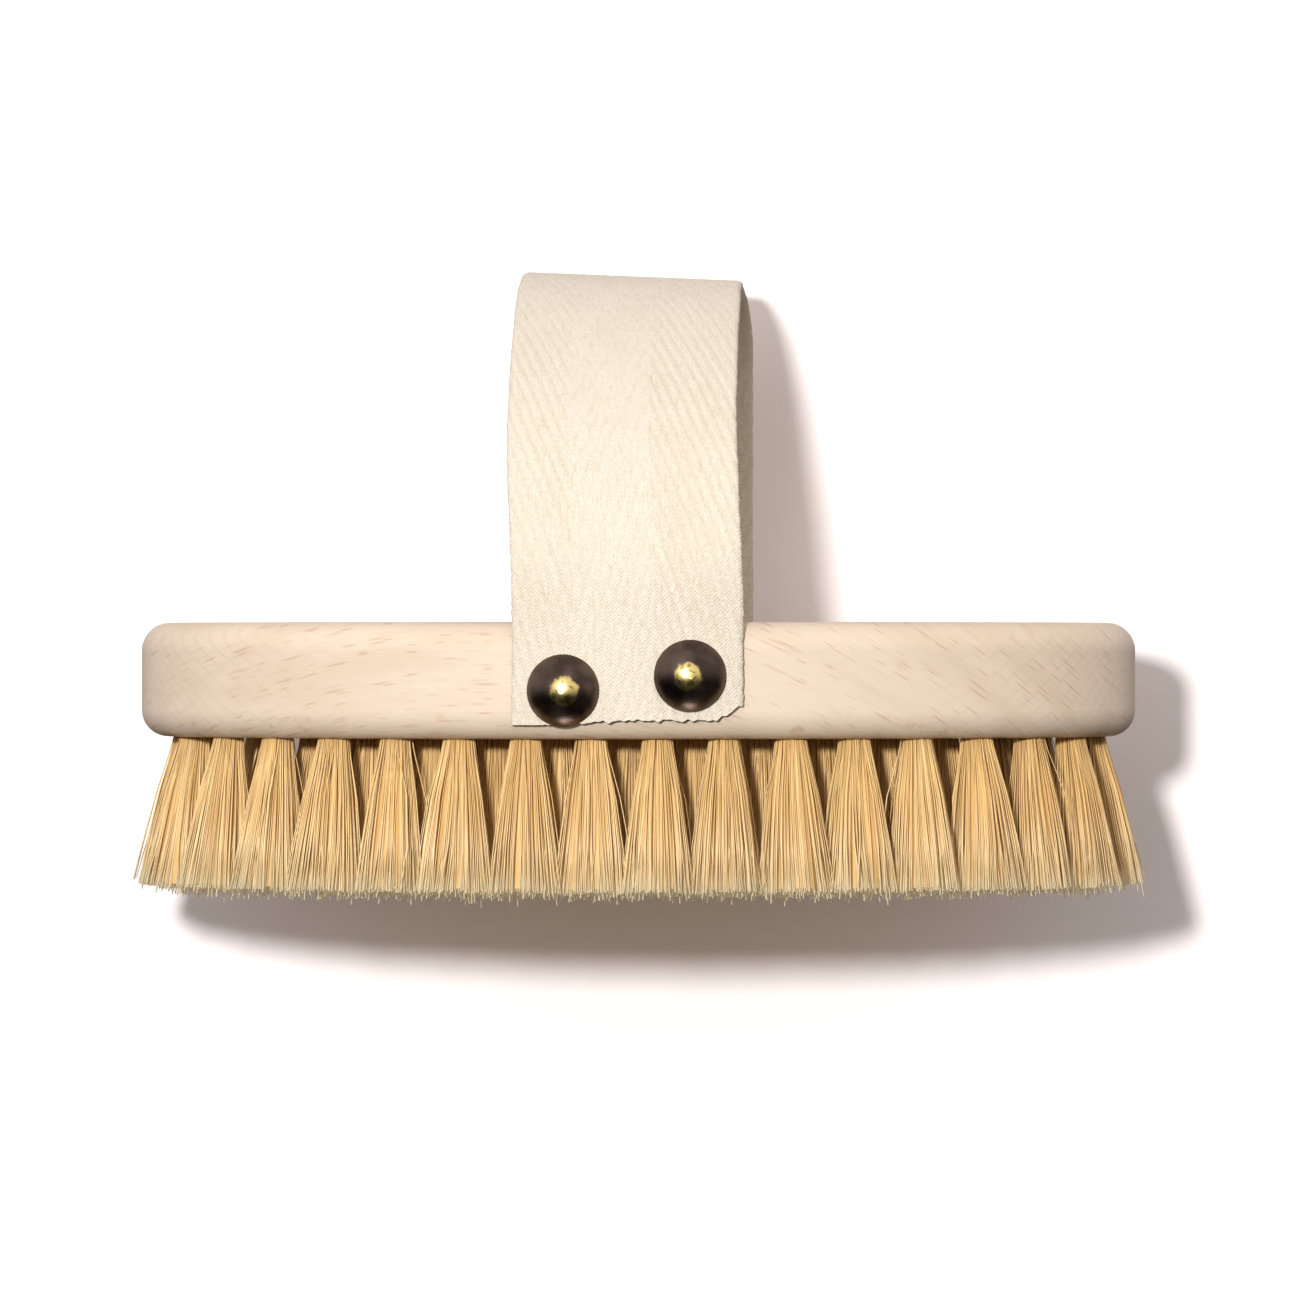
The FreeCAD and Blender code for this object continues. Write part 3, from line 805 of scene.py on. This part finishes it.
def web_surface(columns, face):
    """Grid of points of one face of the webbing, rows along it and columns across."""
    rng = np.random.default_rng(WEAVE_SEED)
    s, y, z, ny, nz = loop_path()
    across = np.linspace(-WEB_WIDTH / 2, WEB_WIDTH / 2, columns)
    u = np.tile(across, (len(s), 1))
    rows = np.tile(s[:, None], (1, columns))
    front = np.clip(1 - rows / CUT_REACH, 0, 1) * cut_edge(across, FRONT_CUT, rng)[None, :]
    back = np.clip(1 - (s[-1] - rows) / CUT_REACH, 0, 1) * cut_edge(across, BACK_CUT, rng)[None, :]
    along = rows + front - back
    cy, cz = np.interp(along, s, y), np.interp(along, s, z)
    cny, cnz = np.interp(along, s, ny), np.interp(along, s, nz)
    relief = herringbone(u, along, rng)
    relief = 1 - (1 - relief) * (1 - CROWN_WEAR * smooth(cz, CROWN_WEAR_Z, LOOP_TOP))
    inset = np.clip((np.abs(u) - (WEB_WIDTH / 2 - EDGE_ROUND)) / EDGE_ROUND, 0, 1)
    taper = np.sqrt(np.clip(1 - EDGE_THINNING * inset**2, 0, 1))
    half = (WEB_THICKNESS / 2 - RIB_HEIGHT * (1 - relief)) * taper * face

    edge = 0
    for seed, kind in zip(EDGE_SEEDS, EDGE_WAVES):
        edge = edge + waves(along, np.random.default_rng(seed), *kind) * EDGE_WAVE_HEIGHT
    start, full = (share * WEB_WIDTH for share in EDGE_ZONE)
    reach = smooth(np.abs(u), start, full)
    bow = BOW * smooth(cz, BOW_START_Z, BOW_FULL_Z) * (1 - smooth(cy, LOOP_SET_BACK, HALF_DEPTH))
    x = u + np.sign(u) * edge * reach + bow
    tilt = CROWN_TILT * (u + WEB_WIDTH / 2) * smooth(cz, CROWN_TILT_START_Z, LOOP_TOP)
    skewed_x = x * math.cos(WEB_SKEW) - cy * math.sin(WEB_SKEW) + WEB_CENTRE_X
    skewed_y = x * math.sin(WEB_SKEW) + cy * math.cos(WEB_SKEW)
    share = np.clip(skewed_x / (HALF_LENGTH + WEB_THICKNESS / 2), -1, 1)
    wall = (HALF_DEPTH + WEB_THICKNESS / 2) * np.sqrt(1 - share**2) * np.sign(cy)
    hug = 1 - smooth(cz, HUG_FULL_Z, HUG_END_Z)
    placed_y = skewed_y * (1 - hug) + wall * hug
    points = np.stack([skewed_x, placed_y + cny * half, cz - tilt + cnz * half], axis=-1)
    return points, relief, np.stack([u, along, np.zeros_like(u)], axis=-1)


def strap_piece(name, points, relief, weave, normals, first, last, material):
    """Closed piece of webbing between two rows of the whole strip."""
    ring = points.shape[1]
    count = last - first + 1
    vertices = points[first:last + 1].reshape(-1, 3)
    faces = []
    for row in range(count - 1):
        for k in range(ring):
            a = row * ring + k
            b = row * ring + (k + 1) % ring
            faces.append((a, b, b + ring, a + ring))
    top = (count - 1) * ring
    for base, turned in ((0, False), (top, True)):
        # the outer face's columns are paired with the inner face's by walking both sides
        left, right = 0, ring - 1
        while left + 1 < right:
            step = OUTER_COLUMNS - 1 - left
            go_left = step * (INNER_COLUMNS - 1) >= (right - OUTER_COLUMNS) * (OUTER_COLUMNS - 1)
            if go_left and left < OUTER_COLUMNS - 1:
                corner = (left, right, left + 1)
                left += 1
            else:
                corner = (left, right, right - 1)
                right -= 1
            faces.append(tuple(base + c for c in (corner[::-1] if turned else corner)))
    mesh = bpy.data.meshes.new(name)
    mesh.from_pydata(vertices.tolist(), [], faces)
    mesh.attributes.new("relief", "FLOAT", "POINT").data.foreach_set(
        "value", relief[first:last + 1].reshape(-1).astype(np.float32))
    mesh.attributes.new("weave", "FLOAT_VECTOR", "POINT").data.foreach_set(
        "vector", weave[first:last + 1].reshape(-1).astype(np.float32))
    mesh.shade_smooth()
    mesh.normals_split_custom_set_from_vertices(normals[first:last + 1].reshape(-1, 3).tolist())
    mesh.materials.append(material)
    piece = add_object(name, mesh)
    return piece


def ring_normals(points):
    """Normals of a closed tube of points, from its rows and columns."""
    along = np.gradient(points, axis=0)
    across = np.roll(points, -1, axis=1) - np.roll(points, 1, axis=1)
    normals = np.cross(across, along)
    return normals / np.maximum(np.linalg.norm(normals, axis=-1, keepdims=True), LEAST_LENGTH)


def add_strap(material):
    """One strip of webbing in three pieces that meet where the CAD model's joints divide it."""
    outer, outer_relief, outer_weave = web_surface(OUTER_COLUMNS, 1)
    inner, inner_relief, inner_weave = web_surface(INNER_COLUMNS, -1)
    points = np.concatenate([outer, inner[:, ::-1]], axis=1)
    relief = np.concatenate([outer_relief, inner_relief[:, ::-1]], axis=1)
    weave = np.concatenate([outer_weave, inner_weave[:, ::-1]], axis=1)
    normals = ring_normals(points)
    s, _, z, _, _ = loop_path()
    middle = len(s) // 2
    low = int(np.argmin(np.abs(z[:middle] - PIECE_SEAM_Z)))
    high = middle + int(np.argmin(np.abs(z[middle:] - PIECE_SEAM_Z)))
    front = strap_piece("strap_front_end", points, relief, weave, normals, 0, low, material)
    loop = strap_piece("strap_loop", points, relief, weave, normals, low, high, material)
    back = strap_piece(
        "strap_back_end", points, relief, weave, normals, high, len(s) - 1, material)
    for piece, tab in ((front, "strap_front_tab"), (back, "strap_back_tab")):
        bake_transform(piece)
        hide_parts(tab)
    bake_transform(loop)
    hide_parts("strap_front_leg", "strap_back_leg", "strap_crown")


# ---- Tacks ----

PATINA_DARK = (0.070, 0.050, 0.040)
PATINA_LIGHT = (0.13, 0.098, 0.078)
BRASS_BRIGHT = (0.86, 0.68, 0.26)
BRASS_SPOT = (0.22, 0.19, 0.05)
STEEL = (0.55, 0.53, 0.50)
BURNISH_RADIUS = 2.05 * MM
BURNISH_EDGE = ((0.78, 1.0), (1.0, 0.0))  # share of the radius, brightness
BURNISH_RAGGEDNESS = 1.3 * MM
BURNISH_RAGS = Noise((1.1, 1.1, 1.1), 3.0, 0.6)
PATINA_CLOUDS = Noise((3.4, 3.4, 3.4), 2.0, 0.5, 0.4, 0.65)
PATINA_ROUGHNESS = 0.14
CLOUD_ROUGHNESS = 0.3
BURNISH_SMOOTHING = 0.11
BRASS_SPOTS = Noise((0.8, 0.8, 0.8), 2.0, 0.5, 0.52, 0.62, 0.75)
PATINA_GRAIN = Noise((0.3, 0.3, 0.3), 2.0, 0.6)
GRAIN_DEPTH = 0.02 * MM
GRAIN_STRENGTH = 0.15
STEEL_MARKS = Noise((0.2, 2.0, 0.2), 2.0, 0.6)
STEEL_ROUGHNESS = 0.25
MARK_ROUGHNESS = 0.2
MARK_STRENGTH = 0.4
CAP_PREFIX = "tack_cap_"


def antique_bronze(name, apex):
    """Dark plating, rubbed through to bright brass round the top of the dome."""
    material, graph = new_material(name)
    place = graph.object_place()
    distance = graph.vector("DISTANCE", place, tuple(apex))
    ragged = graph.math("SUBTRACT", graph.noise(place, BURNISH_RAGS), 0.5)
    ragged = graph.math("MULTIPLY", ragged, BURNISH_RAGGEDNESS)
    share = graph.math("DIVIDE", graph.math("ADD", distance, ragged), BURNISH_RADIUS)
    bright = graph.ramp(share, BURNISH_EDGE)
    cloud = graph.noise(place, PATINA_CLOUDS)
    dark = graph.mix(graph.mask(cloud, PATINA_CLOUDS), PATINA_DARK, PATINA_LIGHT)
    spots = graph.mask(graph.noise(place, BRASS_SPOTS), BRASS_SPOTS)
    brass = graph.mix(spots, BRASS_BRIGHT, BRASS_SPOT)
    colour = graph.mix(bright, dark, brass)
    rough = graph.math("ADD", graph.math("MULTIPLY", cloud, CLOUD_ROUGHNESS), PATINA_ROUGHNESS)
    rough = graph.math("SUBTRACT", rough, graph.math("MULTIPLY", bright, BURNISH_SMOOTHING))
    normal = graph.bump(graph.noise(place, PATINA_GRAIN), GRAIN_DEPTH, GRAIN_STRENGTH)
    graph.surface(colour, rough, normal, Metallic=1.0)
    return material


def steel(name):
    """Drawn steel with faint marks along it."""
    material, graph = new_material(name)
    marks = graph.noise(graph.object_place(), STEEL_MARKS)
    colour = graph.mix(graph.math("MULTIPLY", marks, MARK_STRENGTH), STEEL, PATINA_LIGHT)
    rough = graph.math("ADD", graph.math("MULTIPLY", marks, MARK_ROUGHNESS), STEEL_ROUGHNESS)
    graph.surface(colour, rough, Metallic=1.0)
    return material


def finish_node(name, material):
    """Gives a CAD node its material."""
    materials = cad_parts[name].data.materials
    materials.clear()
    materials.append(material)


def finish_nodes():
    """Materials of the block, the tacks and the anchors, which keep their CAD shapes."""
    finish_node("block", beech())
    nail_material = steel("nail_steel")
    wire_material = steel("anchor_wire")
    for name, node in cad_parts.items():
        if name.startswith(CAP_PREFIX):
            side = -1 if "_front_" in name else 1
            apex = max((v.co for v in node.data.vertices), key=lambda point: side * point.y)
            place = name.removeprefix(CAP_PREFIX)
            finish_node(name, antique_bronze(f"antique_bronze_{place}", apex))
        elif name.startswith("tack_nail_"):
            finish_node(name, nail_material)
        elif name.startswith("anchors_"):
            finish_node(name, wire_material)


add_camera()
add_surface()
add_light()
add_bristles(bristle())
add_strap(cotton())
finish_nodes()
